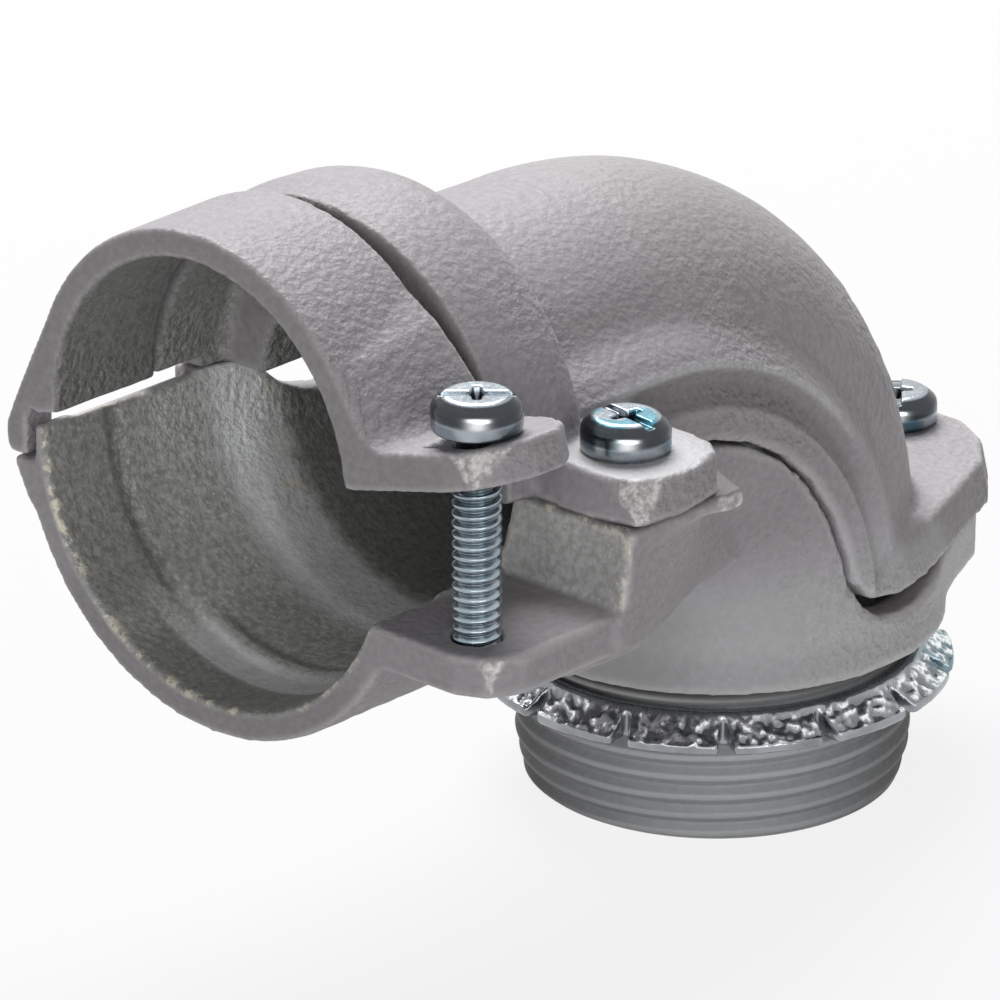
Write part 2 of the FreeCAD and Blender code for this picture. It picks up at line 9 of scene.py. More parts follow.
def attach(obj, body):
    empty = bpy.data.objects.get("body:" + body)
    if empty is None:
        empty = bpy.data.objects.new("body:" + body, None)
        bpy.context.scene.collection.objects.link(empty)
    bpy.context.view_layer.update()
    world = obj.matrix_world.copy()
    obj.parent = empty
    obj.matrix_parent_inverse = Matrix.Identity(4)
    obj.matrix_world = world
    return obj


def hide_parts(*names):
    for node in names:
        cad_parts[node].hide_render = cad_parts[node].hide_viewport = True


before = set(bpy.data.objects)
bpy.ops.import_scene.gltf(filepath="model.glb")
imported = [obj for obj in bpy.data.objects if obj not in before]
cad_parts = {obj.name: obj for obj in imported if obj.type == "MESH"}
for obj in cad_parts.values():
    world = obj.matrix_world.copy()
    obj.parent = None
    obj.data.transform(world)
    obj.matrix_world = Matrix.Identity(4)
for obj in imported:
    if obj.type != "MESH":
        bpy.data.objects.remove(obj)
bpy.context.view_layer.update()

MM = 0.001
INCH = 25.4
FULL_TURN = 2.0 * math.pi
scene = bpy.context.scene

# Lengths of the castings, in millimetres, and their angles.
MOUTH_HIGH = 35.6
ELBOW_HIGH = 33.8
BEND_RAD = 25.5
HUB_LOW = -18.4
HUB_TOP = -0.4
HUB_CORE = 18.9
HUB_SHORT = 0.9
SEAM_X = -33.5
SEAM_Z = 4.5
SEAM_RAD = 28.9
RIDGE_RAD = 36.5
STRAP_PIVOT = (25.5, 32.6)
ARCH_OFFSET = (24.8, 0.1)
STRAP_OPEN = math.radians(14.0)

# Radii between which a wall stops counting as inside: trough, strap's arch, bend and hub.
TROUGH_WALL = (23.2, 23.9)
ARCH_WALL = (20.6, 21.4)
WAY_WALL = (20.3, 20.9)

# Places along the trough, as x in millimetres.
SHOULDER_X = -50.4
FLOOR_LINE_X = -62.9
GROOVE_X = -65.7

# Bare facets on corners: x, y, z of the tip, half width and height.
FACET_ALONG = (0.678, -0.735)
BODY_SPOTS = ((-73.7, -36.2, 23.4, 1.3, 4.0), (-40.3, -37.8, 32.6, 1.8, 2.2))
COVER_SPOTS = ((-54.9, -38.2, 34.8, 2.4, 5.0),)
STRAP_SPOTS = ((-73.0, -33.6, 43.8, 3.3, 4.4),)
# Strength of the painted shade along the joint of the castings.
JOINT_PAINTED_SHADE = 0.7

# The hub's thread: bore rows are radius and height.
HUB_PITCH = INCH / 11.5
HUB_OUT = 20.93
HUB_TAPER = 0.9
HUB_DEPTH = 0.72
HUB_CREST = 0.2
HUB_ROW = 0.14
HUB_COLUMNS = 264
HUB_BORE = ((17.35, -9.0), (17.3, HUB_LOW + 0.5), (17.55, HUB_LOW + 0.08), (18.0, HUB_LOW))

# The screws: the head's profile is radius and height, slot and cross are seen from above.
HEAD_PROFILE = ((0.4, 0.0), (2.3, 0.0), (4.1, 0.0), (4.34, 0.08), (4.44, 0.35), (4.45, 1.0), (4.44, 2.1),
                (4.34, 2.55), (4.05, 2.9), (3.6, 3.25), (3.25, 3.5), (3.0, 3.6), (1.2, 3.6), (0.4, 3.6))
HEAD_COLUMNS = 128
HEAD_CELL = 0.095
SLOT = ((-4.9, -0.55), (4.9, -0.55), (4.9, 0.55), (-4.9, 0.55))
SLOT_LOW = 3.05
SLOT_HIGH = 5.0
CROSS = ((1.9, -0.42), (1.9, 0.42), (0.85, 0.55), (0.55, 0.85), (0.42, 1.9), (-0.42, 1.9), (-0.55, 0.85),
         (-0.85, 0.55), (-1.9, 0.42), (-1.9, -0.42), (-0.85, -0.55), (-0.55, -0.85), (-0.42, -1.9),
         (0.42, -1.9), (0.55, -0.85), (0.85, -0.55))
CROSS_LOW = 1.3
CROSS_HIGH = 3.95
CROSS_TAPER = 0.55
SHANK_PITCH = INCH / 24.0
SHANK_RAD = 2.41
SHANK_TIP = 0.3
SHANK_TAPER = 0.55
SHANK_DEPTH = 0.52
SHANK_CREST = 0.22
SHANK_CLEAR = 1.8
SHANK_ROW = 0.09
SHANK_COLUMNS = 56
COVER_SCREW_LONG = 11.1
STRAP_SCREW_LONG = 25.4

# The nut: size of its mesh cells, and the radii over which its struck lobes begin.
NUT_CELL = 0.28
NUT_LOBE = (22.2, 23.0)

# Directions round an upright axis: towards the camera, where the painted highlight on the metal lies, and
# of the nut's blue side.
GLINT_TURN = math.radians(-137.0)
NUT_BLUE_TURN = math.radians(-20.0)

# Colours of the castings.
CAST_DARK = (0.335, 0.315, 0.332)
CAST_LIGHT = (0.395, 0.373, 0.393)
# Raised edges and thread crests: partly wear, partly painted highlight.
CAST_WEAR_AND_HIGHLIGHT = (0.66, 0.64, 0.655)
# Painted shade laid in creases and thread roots.
CREASE_PAINTED_SHADE = (0.07, 0.066, 0.066)
THREAD_DARK = (0.215, 0.22, 0.228)
THREAD_LIGHT = (0.27, 0.277, 0.287)
THREAD_WEAR_AND_HIGHLIGHT = (0.66, 0.67, 0.69)
# The hollow's olive colours, made much lighter than the outer coat as painted light for the dim inside.
HOLLOW_DARK_PAINTED_LIT = (0.5, 0.5, 0.478)
HOLLOW_LIGHT_PAINTED_LIT = (0.78, 0.78, 0.757)
# Painted glints scattered over the hollow.
HOLLOW_PAINTED_GLINT = (0.92, 0.92, 0.9)
# Painted light: the pale tone laid where light would fall brighter.
PAINTED_LIGHT_TONE = (0.92, 0.935, 0.94)
# Painted shade: the dark tone laid where shade falls.
PAINTED_SHADE_TONE = (0.05, 0.047, 0.043)
CREAM_TONE = (0.82, 0.77, 0.64)
RAW_DARK = (0.4, 0.375, 0.375)
RAW_LIGHT = (0.9, 0.87, 0.87)

# Colours and gloss of the plated steel.
SCREW_DULL = (0.27, 0.305, 0.34)
SCREW_BRIGHT = (0.45, 0.495, 0.53)
SCREW_TEAL = (0.12, 0.33, 0.41)
NUT_DULL = (0.22, 0.232, 0.246)
NUT_BRIGHT = (0.38, 0.398, 0.416)
NUT_TEAL = (0.13, 0.27, 0.33)
# Painted darkness for shade and dark reflections on the plated steel.
PLATE_PAINTED_DARK = (0.05, 0.054, 0.06)
# Painted glints on the plated steel.
PLATE_PAINTED_GLINT = (0.9, 0.91, 0.92)
PLATE_ROUGH = (0.16, 0.3)


# Mesh helpers.
def add_object(name, data):
    """Puts a mesh, lamp or camera in the scene under a name."""
    thing = bpy.data.objects.new(name, data)
    scene.collection.objects.link(thing)
    return thing


def fresh_mesh(name, points, faces):
    """A smooth-shaded mesh from points in millimetres."""
    mesh = bpy.data.meshes.new(name)
    mesh.from_pydata([tuple(p) for p in np.asarray(points) * MM], [], faces)
    mesh.validate()
    mesh.shade_smooth()
    return mesh


def built_mesh(thing):
    """The mesh of an object as its modifiers leave it."""
    graph = bpy.context.evaluated_depsgraph_get()
    return bpy.data.meshes.new_from_object(thing.evaluated_get(graph))


def get_points(mesh):
    """Points of a mesh in millimetres."""
    flat = np.empty(len(mesh.vertices) * 3)
    mesh.vertices.foreach_get("co", flat)
    return flat.reshape(-1, 3) / MM


def set_points(mesh, points):
    """Writes points in millimetres back to a mesh."""
    mesh.vertices.foreach_set("co", (points * MM).ravel())
    mesh.update()


def get_normals(mesh):
    """Unit normals at the points of a mesh."""
    flat = np.empty(len(mesh.vertices) * 3)
    mesh.vertex_normals.foreach_get("vector", flat)
    return flat.reshape(-1, 3)


def get_edges(mesh):
    """Pairs of linked points."""
    flat = np.empty(len(mesh.edges) * 2, dtype=np.int64)
    mesh.edges.foreach_get("vertices", flat)
    return flat.reshape(-1, 2)


def store(mesh, **values):
    """Stores numbers per point, each under the name that the materials read."""
    for name, numbers in values.items():
        layer = mesh.attributes.new(name, "FLOAT", "POINT")
        layer.data.foreach_set("value", np.asarray(numbers, dtype=np.float32))


def voxel_copy(source, cell):
    """A closed even mesh of an object's form, made of cells of the given size."""
    work = add_object("work_form", source.data.copy())
    remesh = work.modifiers.new("remesh", "REMESH")
    remesh.mode = "VOXEL"
    remesh.voxel_size = cell * MM
    remesh.adaptivity = 0.0
    mesh = built_mesh(work)
    bpy.data.objects.remove(work)
    return mesh


def snap(points, source):
    """Moves points in millimetres to the nearest place on an object's own surface."""
    faces = [tuple(face.vertices) for face in source.data.polygons]
    tree = BVHTree.FromPolygons([tuple(p) for p in get_points(source.data)], faces)
    return np.array([tree.find_nearest(tuple(p))[0] for p in points])


def keep_in_box(points, source):
    """Holds points inside the box of an object's own mesh."""
    box = get_points(source.data)
    return np.clip(points, box.min(axis=0), box.max(axis=0))


def soften(points, pairs, rounds, share=0.5):
    """Moves each point towards the middle of its neighbours, round after round."""
    count = len(points)
    first, second = pairs[:, 0], pairs[:, 1]
    links = np.bincount(first, minlength=count) + np.bincount(second, minlength=count)
    links = np.maximum(links, 1)
    for _ in range(rounds):
        middle = np.empty_like(points)
        for axis in range(3):
            column = points[:, axis]
            total = np.bincount(first, weights=column[second], minlength=count)
            total += np.bincount(second, weights=column[first], minlength=count)
            middle[:, axis] = total / links
        points = points + share * (middle - points)
    return points


def spread(values, pairs, rounds):
    """Blurs one number per point over its neighbours."""
    return soften(np.column_stack((values, values, values)), pairs, rounds, 0.6)[:, 0]


def push(points, normals, heights):
    """Moves points out along their normals."""
    return points + normals * heights[:, None]


def height_along(offsets, normals):
    """How far each offset goes along its normal."""
    return (offsets * normals).sum(axis=1)


# Numbers over a surface.
TILT = np.array(
    Matrix.Rotation(0.61, 3, "X") @ Matrix.Rotation(0.47, 3, "Y") @ Matrix.Rotation(0.83, 3, "Z"))
SEED_SHIFT = 7.31
HASH_X = 374761393
HASH_Y = 668265263
HASH_Z = 1274126177
HASH_SEED = 974634777
LOW_32_BITS = 0xFFFFFFFF
LOW_24_BITS = 0xFFFFFF
HALF_OF_24_BITS = float(0x7FFFFF)


def scatter(cell, seed):
    """A fixed number between -1 and 1 for each lattice cell."""
    mixed = cell[:, 0] * HASH_X + cell[:, 1] * HASH_Y + cell[:, 2] * HASH_Z + seed * HASH_SEED
    mixed = mixed & LOW_32_BITS
    mixed = ((mixed ^ (mixed >> 13)) * HASH_Z) & LOW_32_BITS
    mixed = mixed ^ (mixed >> 16)
    return (mixed & LOW_24_BITS) / HALF_OF_24_BITS - 1.0


def lattice(points, scale, seed):
    """Smooth noise between -1 and 1 with features of about the given size."""
    spot = points @ TILT.T / scale + SEED_SHIFT * seed
    cell = np.floor(spot).astype(np.int64)
    part = spot - cell
    part = part * part * (3.0 - 2.0 * part)
    total = np.zeros(len(points))
    for corner in range(8):
        step = np.array([corner & 1, corner >> 1 & 1, corner >> 2 & 1])
        weight = np.prod(np.where(step == 1, part, 1.0 - part), axis=1)
        total += weight * scatter(cell + step, seed)
    return total


def step_up(values, low, high):
    """0 below low, 1 above high, smooth between."""
    part = np.clip((values - low) / (high - low), 0.0, 1.0)
    return part * part * (3.0 - 2.0 * part)


def step_down(values, low, high):
    """1 below low, 0 above high, smooth between."""
    return step_up(-values, -high, -low)


def most(*marks):
    """The strongest of several marks at each point."""
    return np.maximum.reduce(marks)


def axis_distance(points):
    """Distance of each point from the upright axis."""
    return np.sqrt(points[:, 0] ** 2 + points[:, 1] ** 2)


def axis_turn(points):
    """Direction of each point round the upright axis."""
    return np.arctan2(points[:, 1], points[:, 0])


# Materials. The colour sockets of a mix node are known by their places.
MIX_FIRST = 6
MIX_SECOND = 7
MIX_RESULT = 2


class Nodes:
    """A small helper to put nodes in a material and link them."""

    def __init__(self, name):
        self.material = bpy.data.materials.new(name)
        self.material.use_nodes = True
        self.tree = self.material.node_tree
        self.shader = self.tree.nodes["Principled BSDF"]
        self.coords = self.tree.nodes.new("ShaderNodeTexCoord").outputs["Object"]

    def link(self, source, target):
        """Feeds one socket from another."""
        self.tree.links.new(source, target)

    def noise(self, scale, detail=3.0, rough=0.55):
        """Fine mottling; scale is in features per metre."""
        node = self.tree.nodes.new("ShaderNodeTexNoise")
        node.inputs["Scale"].default_value = scale
        node.inputs["Detail"].default_value = detail
        node.inputs["Roughness"].default_value = rough
        self.link(self.coords, node.inputs["Vector"])
        return node.outputs["Fac"]

    def specks(self, scale):
        """Distance to the nearest of scattered points."""
        node = self.tree.nodes.new("ShaderNodeTexVoronoi")
        node.inputs["Scale"].default_value = scale
        self.link(self.coords, node.inputs["Vector"])
        return node.outputs["Distance"]

    def value(self, name):
        """A number stored on the mesh."""
        node = self.tree.nodes.new("ShaderNodeAttribute")
        node.attribute_name = name
        return node.outputs["Fac"]

    def span(self, source, low, high, to_low=0.0, to_high=1.0):
        """Maps one range of numbers to another, clamped."""
        node = self.tree.nodes.new("ShaderNodeMapRange")
        self.link(source, node.inputs["Value"])
        node.inputs["From Min"].default_value = low
        node.inputs["From Max"].default_value = high
        node.inputs["To Min"].default_value = to_low
        node.inputs["To Max"].default_value = to_high
        return node.outputs["Result"]

    def math(self, kind, first, second):
        """Arithmetic on two numbers, each a socket or a constant."""
        node = self.tree.nodes.new("ShaderNodeMath")
        node.operation = kind
        for socket, item in zip(node.inputs, (first, second)):
            if isinstance(item, (int, float)):
                socket.default_value = item
            else:
                self.link(item, socket)
        return node.outputs["Value"]

    def tint(self, share, first, second):
        """A colour between two, each a socket or a triple."""
        node = self.tree.nodes.new("ShaderNodeMix")
        node.data_type = "RGBA"
        self.link(share, node.inputs["Factor"])
        for socket, item in zip((node.inputs[MIX_FIRST], node.inputs[MIX_SECOND]), (first, second)):
            if isinstance(item, tuple):
                socket.default_value = item + (1.0,)
            else:
                self.link(item, socket)
        return node.outputs[MIX_RESULT]

    def bump(self, height, strength, distance, before=None):
        """Small surface relief, in millimetres."""
        node = self.tree.nodes.new("ShaderNodeBump")
        if isinstance(strength, float):
            node.inputs["Strength"].default_value = strength
        else:
            self.link(strength, node.inputs["Strength"])
        node.inputs["Distance"].default_value = distance * MM
        self.link(height, node.inputs["Height"])
        if before is not None:
            self.link(before, node.inputs["Normal"])
        return node.outputs["Normal"]

    def finish(self, colour, rough, normal, metal):
        """Feeds the shader."""
        self.link(colour, self.shader.inputs["Base Color"])
        self.link(rough, self.shader.inputs["Roughness"])
        self.link(normal, self.shader.inputs["Normal"])
        self.shader.inputs["Metallic"].default_value = metal
        return self.material


def cast_material(name, dark, light, wear_and_highlight):
    """Grainy cast iron under a matt zinc coat, olive and mottled in the hollow, with painted light and
    painted shade laid over it.
    """
    kit = Nodes(name)
    grain = kit.noise(1150.0, detail=2.0, rough=0.5)
    broad = kit.noise(85.0, detail=2.0, rough=0.5)
    fine = kit.noise(3200.0, detail=3.0, rough=0.6)
    edge = kit.value("edge")
    inside = kit.value("inside")

    coat = kit.tint(kit.span(grain, 0.34, 0.66), dark, light)
    coat = kit.tint(kit.span(broad, 0.35, 0.7, 0.0, 0.3), coat, dark)
    # Raised edges lighter: partly wear, partly painted highlight.
    coat = kit.tint(kit.span(edge, 0.3, 0.9, 0.0, 0.55), coat, wear_and_highlight)
    # Painted shade: concave places of the surface darkened.
    coat = kit.tint(kit.span(edge, -0.3, -0.9, 0.0, 0.6), coat, CREASE_PAINTED_SHADE)

    mottle = kit.span(kit.noise(1300.0, detail=3.0, rough=0.6), 0.38, 0.64)
    thick = kit.span(kit.noise(170.0), 0.42, 0.6, 0.1, 0.75)
    # Painted glints: scattered near-white specks inside.
    painted_glints = kit.math("MULTIPLY", kit.span(kit.specks(1250.0), 0.32, 0.14), thick)
    hollow = kit.tint(painted_glints, kit.tint(mottle, HOLLOW_DARK_PAINTED_LIT, HOLLOW_LIGHT_PAINTED_LIT), HOLLOW_PAINTED_GLINT)
    # Olive hollow colours, lightened as painted light, on the inner walls.
    coat = kit.tint(inside, coat, hollow)
    # Painted light, read from the pale mark.
    coat = kit.tint(kit.value("pale"), coat, PAINTED_LIGHT_TONE)
    # Painted shade, read from its mark.
    coat = kit.tint(kit.value("soot"), coat, PAINTED_SHADE_TONE)

    ragged = kit.span(kit.noise(620.0, detail=4.0, rough=0.7), 0.5, 0.58)
    crumbs = kit.math("MULTIPLY", ragged, kit.span(edge, 0.12, 0.4))
    coat = kit.tint(kit.math("MULTIPLY", crumbs, inside), coat, CREAM_TONE)
    broken = kit.span(kit.noise(950.0, detail=3.0, rough=0.7), 0.38, 0.64)
    coat = kit.tint(kit.value("bare"), coat, kit.tint(broken, RAW_DARK, RAW_LIGHT))

    rough = kit.span(fine, 0.3, 0.7, 0.5, 0.68)
    rough = kit.math("SUBTRACT", rough, kit.math("MULTIPLY", inside, 0.2))
    normal = kit.bump(grain, kit.value("wrinkle"), 0.9)
    normal = kit.bump(fine, 0.3, 0.05, normal)
    kit.shader.inputs["Specular IOR Level"].default_value = 0.35
    return kit.finish(coat, rough, normal, 0.08)


def plated_material(name, dull, bright, teal, struck_with_glint_specks=False):
    """Bright zinc plate with a bluish bloom, painted shade and dark reflections, and painted glints, which
    on struck steel are broken into specks.
    """
    kit = Nodes(name)
    broad = kit.noise(230.0, detail=3.0, rough=0.55)
    fine = kit.noise(2400.0, detail=3.0, rough=0.6)
    coat = kit.tint(kit.span(broad, 0.32, 0.68), dull, bright)
    coat = kit.tint(kit.value("teal"), coat, teal)
    # Painted shade and painted dark reflections.
    coat = kit.tint(kit.value("dirt"), coat, PLATE_PAINTED_DARK)
    # Painted glints, broken into specks on struck steel.
    spark = kit.value("spark")
    if struck_with_glint_specks:
        glint_specks = kit.noise(1500.0, detail=2.0, rough=0.6)
        spark = kit.math("MULTIPLY", spark, kit.span(glint_specks, 0.36, 0.5))
    coat = kit.tint(spark, coat, PLATE_PAINTED_GLINT)
    rough = kit.span(fine, 0.3, 0.7, *PLATE_ROUGH)
    normal = kit.bump(fine, 0.2, 0.12 if struck_with_glint_specks else 0.03)
    return kit.finish(coat, rough, normal, 1.0)


CASTING = cast_material("cast_zinc", CAST_DARK, CAST_LIGHT, CAST_WEAR_AND_HIGHLIGHT)
THREAD = cast_material("cast_thread", THREAD_DARK, THREAD_LIGHT, THREAD_WEAR_AND_HIGHLIGHT)
SCREW = plated_material("plated_screw", SCREW_DULL, SCREW_BRIGHT, SCREW_TEAL)
NUT = plated_material("plated_nut", NUT_DULL, NUT_BRIGHT, NUT_TEAL, struck_with_glint_specks=True)


def add_piece(name, mesh, body, slot, material, *nodes):
    """Adds a piece with its finish, the body it moves with and the nodes it stands for."""
    mesh.shade_smooth()
    thing = add_object(name, mesh)
    mesh.materials.clear()
    mesh.materials.append(material)
    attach(thing, body)
    if nodes:
        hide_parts(*nodes)


# Marks on the castings, each a number per point that fades between two limits.
def facing(normals, across, up):
    """How much a normal looks back along the direction given by two arrays of the YZ plane."""
    reach = np.sqrt(across * across + up * up) + 1e-6
    return -(normals[:, 1] * across + normals[:, 2] * up) / reach


def hollow_mask(points, normals):
    """1 on the inner walls of the run from the mouth to the hub."""
    x, y, z = points.T
    lift = z - MOUTH_HIGH
    wall = np.sqrt(y * y + lift * lift)
    mouth = step_up(facing(normals, y, lift), 0.05, 0.5) * step_down(wall, *TROUGH_WALL)
    mouth = mouth * step_down(x, -28.0, -24.0)
    drop = z - (ELBOW_HIGH - BEND_RAD)
    run = np.sqrt((x + BEND_RAD) ** 2 + drop ** 2)
    turn = np.sqrt((run - BEND_RAD) ** 2 + y * y)
    bend = step_down(turn, *WAY_WALL) * step_up(x, -BEND_RAD - 4.0, -BEND_RAD) * step_up(drop, -1.0, 1.0)
    leg = step_down(axis_distance(points), *WAY_WALL) * step_down(drop, -1.0, 1.0)
    leg = leg * step_up(z, HUB_LOW - 1.0, HUB_LOW + 1.5)
    return np.clip(mouth + bend + leg, 0.0, 1.0)


def strap_mask(points, normals):
    """1 on the inner face of the strap's arch."""
    sideways, upwards = ARCH_OFFSET
    middle_y = STRAP_PIVOT[0] - sideways * math.cos(STRAP_OPEN) - upwards * math.sin(STRAP_OPEN)
    middle_z = STRAP_PIVOT[1] + sideways * math.sin(STRAP_OPEN)
    across = points[:, 1] - middle_y
    up = points[:, 2] - middle_z
    wall = np.sqrt(across * across + up * up)
    return step_up(facing(normals, across, up), 0.2, 0.6) * step_down(wall, *ARCH_WALL)


def bare_mask(points, normals, spots):
    """Light rough facets on corners, each narrowing down to its tip."""
    mask = np.zeros(len(points))
    ragged = 0.35 * lattice(points, 1.2, 31) + 0.2 * lattice(points, 0.6, 32)
    for x, y, tip, half, high in spots:
        off_x = points[:, 0] - x
        off_y = points[:, 1] - y
        along = off_x * FACET_ALONG[0] + off_y * FACET_ALONG[1]
        rise = points[:, 2] - tip
        facet = step_up(half * rise / high - np.abs(along) + ragged, -0.2, 0.2)
        facet = facet * step_down(np.hypot(off_x, off_y), 4.5, 5.5)
        facet = facet * step_up(rise, -0.3, 0.3) * step_down(rise, high, high + 1.2)
        mask = most(mask, facet * step_down(normals[:, 2], 0.5, 0.75))
    return mask


def seam_reach(points):
    """Height over the middle of the seam's bow, on the bow and on the straight arm before it."""
    x = points[:, 0] - SEAM_X
    z = points[:, 2] - SEAM_Z
    return np.where(x > 0.0, np.hypot(x, z), z)


def seam_edge(points):
    """1 on the body's edge along the seam's bow, on both flanks."""
    x, y, z = points.T
    edge = step_up(seam_reach(points), SEAM_RAD - 0.8, SEAM_RAD - 0.2) * step_up(z, 15.0, 18.0)
    return edge * step_up(np.abs(y), 17.0, 19.0) * step_up(x, -38.0, -35.0)


def ear_side(points):
    """1 on the near side of the castings where the two ears meet."""
    return step_down(points[:, 1], -24.0, -22.5) * step_down(points[:, 0], -38.0, -36.0)


def ear_flow(points):
    """1 where the near flank of the body runs from its ear into the bell without a break."""
    x, y, z = points.T
    share = step_down(y, -23.0, -20.5) * step_up(x, -53.0, -49.5) * step_down(x, -14.0, -8.0)
    share = share * step_up(z, 13.0, 16.0) * step_down(z, 32.0, 33.2)
    seam = np.sqrt((x - SEAM_X) ** 2 + (z - SEAM_Z) ** 2)
    return share * np.where(x > SEAM_X, step_down(seam, 26.0, 27.6), 1.0)


def ridge_flow(points):
    """Share of smoothing above the ridge of the cover's flange, where the dome runs out to it."""
    x, y, z = points.T
    reach = seam_reach(points)
    share = step_up(reach, 37.6, 38.6) * step_down(reach, 41.5, 45.0) * step_up(np.abs(y), 12.0, 15.0)
    return 0.35 * share * step_up(x, -47.0, -44.0) * step_up(z, 8.0, 13.0)


def ridge_marks(points):
    """Painted highlight along the line of the flange's ridge and painted shade in the hollow below it."""
    x, y, _ = points.T
    reach = seam_reach(points)
    side = step_up(np.abs(y), 18.0, 20.0) * step_up(x, -46.0, -40.0)
    line = np.exp(-((reach - RIDGE_RAD) / 0.45) ** 2) * step_down(x, -9.0, -2.0)
    hollow = step_up(reach, 32.8, 34.0) * step_down(reach, 35.7, 36.2) * step_down(x, -8.0, 1.0)
    return side * line, side * hollow


def trough_marks(points):
    """Pale, dark and cream places of the trough: painted highlight on the shoulder and on the lens by the
    mouth, painted shade on its ends, floor line, groove, left side and the chamber beyond, and cream
    patches.
    """
    x = points[:, 0]
    turn = np.degrees(np.arctan2(MOUTH_HIGH - points[:, 2], points[:, 1]))
    ragged = 0.5 * lattice(points, 1.6, 61) + 0.3 * lattice(points, 0.8, 62)
    patchy = 0.9 + 0.3 * lattice(points, 1.1, 63)
    bottom = step_up(turn, 56.0, 70.0) * step_down(turn, 104.0, 120.0)
    off = x - SHOULDER_X + ragged
    band = step_up(off, -5.5, 0.3) * step_down(turn, 92.0, 112.0) * patchy
    band = band * (1.0 - 0.25 * step_up(off, 0.5, 2.5)) * step_down(off, 5.2, 7.2)
    lens = step_up(x + 0.4 * ragged, -69.6, -68.6) * step_down(x, -65.5, -63.4) * bottom * patchy
    groove = step_up(1.3 - np.abs(x - GROOVE_X), 0.0, 0.8) * step_down(turn, 54.0, 68.0)
    line = step_up(0.9 - np.abs(x - FLOOR_LINE_X), 0.0, 0.6) * bottom
    end = step_down(x, -69.4, -68.6) * step_up(turn, 40.0, 70.0)
    left = step_down(x, -68.0, -57.0) * step_down(turn, 42.0, 58.0)
    chamber = step_up(off, 4.6, 8.4)
    pale = np.clip(band + 0.8 * lens, 0.0, 1.0)
    soot = np.clip(0.55 * line + 0.5 * end + 0.46 * left + 0.3 * groove + 0.62 * chamber, 0.0, 0.85)
    warm = step_up(off, 2.6, 4.0) * step_down(off, 5.2, 7.0) * step_down(turn, 38.0, 64.0)
    return pale, soot, 0.3 * warm


# Castings.
FLOW_ROUNDS = 160
FILL_ROUNDS = 5
CREST_ROUNDS = 8
CREST_HIGH = 0.22


def cast_form(node, cell, grain, crinkle, seed, flow=None):
    """A grainy copy of a cast node with filled corners: mesh, points, normals and sharpness of edges."""
    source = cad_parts[node]
    mesh = voxel_copy(source, cell)
    pairs = get_edges(mesh)
    points = soften(get_points(mesh), pairs, 3)
    points = soften(snap(points, source), pairs, 2)
    if flow is not None:
        points = soften(points, pairs, FLOW_ROUNDS, 0.5 * flow(points)[:, None])
    set_points(mesh, points)
    normals = get_normals(mesh)
    fill = height_along(soften(points, pairs, FILL_ROUNDS) - points, normals)
    points = soften(push(points, normals, np.clip(fill, 0.0, None)), pairs, 1)
    set_points(mesh, points)
    normals = get_normals(mesh)
    crest = height_along(points - soften(points, pairs, CREST_ROUNDS), normals) / CREST_HIGH
    crest = spread(np.clip(crest, -1.0, 1.0), pairs, 1)
    patch = 0.35 + 0.65 * step_up(lattice(points, 14.0, seed + 5), -0.25, 0.45)
    wrinkle = patch * (0.3 + 0.7 * step_down(normals[:, 2], 0.5, 0.9)) * step_up(normals[:, 0], -1.1, -0.6)
    relief = lattice(points, 1.5, seed) + 0.8 * lattice(points, 1.05, seed + 1)
    relief = relief * wrinkle + 0.5 * lattice(points, 5.0, seed + 2)
    points = push(points, normals, grain * relief * (1.0 - 0.8 * np.abs(crest)))
    store(mesh, wrinkle=crinkle * (0.2 + 0.8 * wrinkle))
    return mesh, keep_in_box(points, source), normals, crest


def body_shell():
    """The lower casting, with its hub tucked in behind the piece that carries the thread."""
    mesh, points, normals, crest = cast_form(
        "body_casting", cell=0.5, grain=0.045, crinkle=0.65, seed=1, flow=ear_flow)
    x, y, z = points.T
    inside = hollow_mask(points, normals)
    outside = 1.0 - inside
    pale, soot, warm = trough_marks(points)
    # The slanted face beside the screw takes the hollow's colours and a little painted shade.
    olive = step_down(normals[:, 0], -0.7, -0.4) * step_up(x, -62.0, -60.0) * step_down(x, -49.0, -47.0)
    olive = olive * step_down(y, -19.0, -17.0) * step_up(z, 26.5, 28.0)
    # Painted light: the bell's sideways and downward faces made paler.
    bell = outside * step_down(normals[:, 2], -0.1, 0.35) * step_down(z, 4.0, 22.0)
    bell = bell * step_up(x, -38.0, -22.0)
    # Painted shade on the low faces that look towards the mouth.
    rim = outside * step_down(normals[:, 0], -0.95, -0.7) * step_down(z, 17.0, 24.0)
    # Painted shade along the joint where the ears meet and along the seam's bow.
    joint = ear_side(points) * step_up(z, MOUTH_HIGH - 0.75, MOUTH_HIGH - 0.25)
    joint = most(joint, outside * seam_edge(points))
    edge = crest * (1.0 - inside * step_up(x, -71.5, -70.0)) + inside * warm
    soot = most(inside * soot, JOINT_PAINTED_SHADE * joint, 0.15 * olive, 0.22 * rim)
    reach = axis_distance(points)
    hub_part = (z < HUB_TOP) & (reach > HUB_CORE)
    tuck = np.where(hub_part, HUB_CORE / np.maximum(reach, 1.0), 1.0)
    points = np.column_stack((x * tuck, y * tuck, np.maximum(z, HUB_LOW + HUB_SHORT)))
    set_points(mesh, points)
    store(mesh, edge=edge, inside=most(inside, 0.7 * olive), pale=most(inside * pale, 0.4 * bell),
          soot=soot, bare=bare_mask(points, normals, BODY_SPOTS))
    return mesh


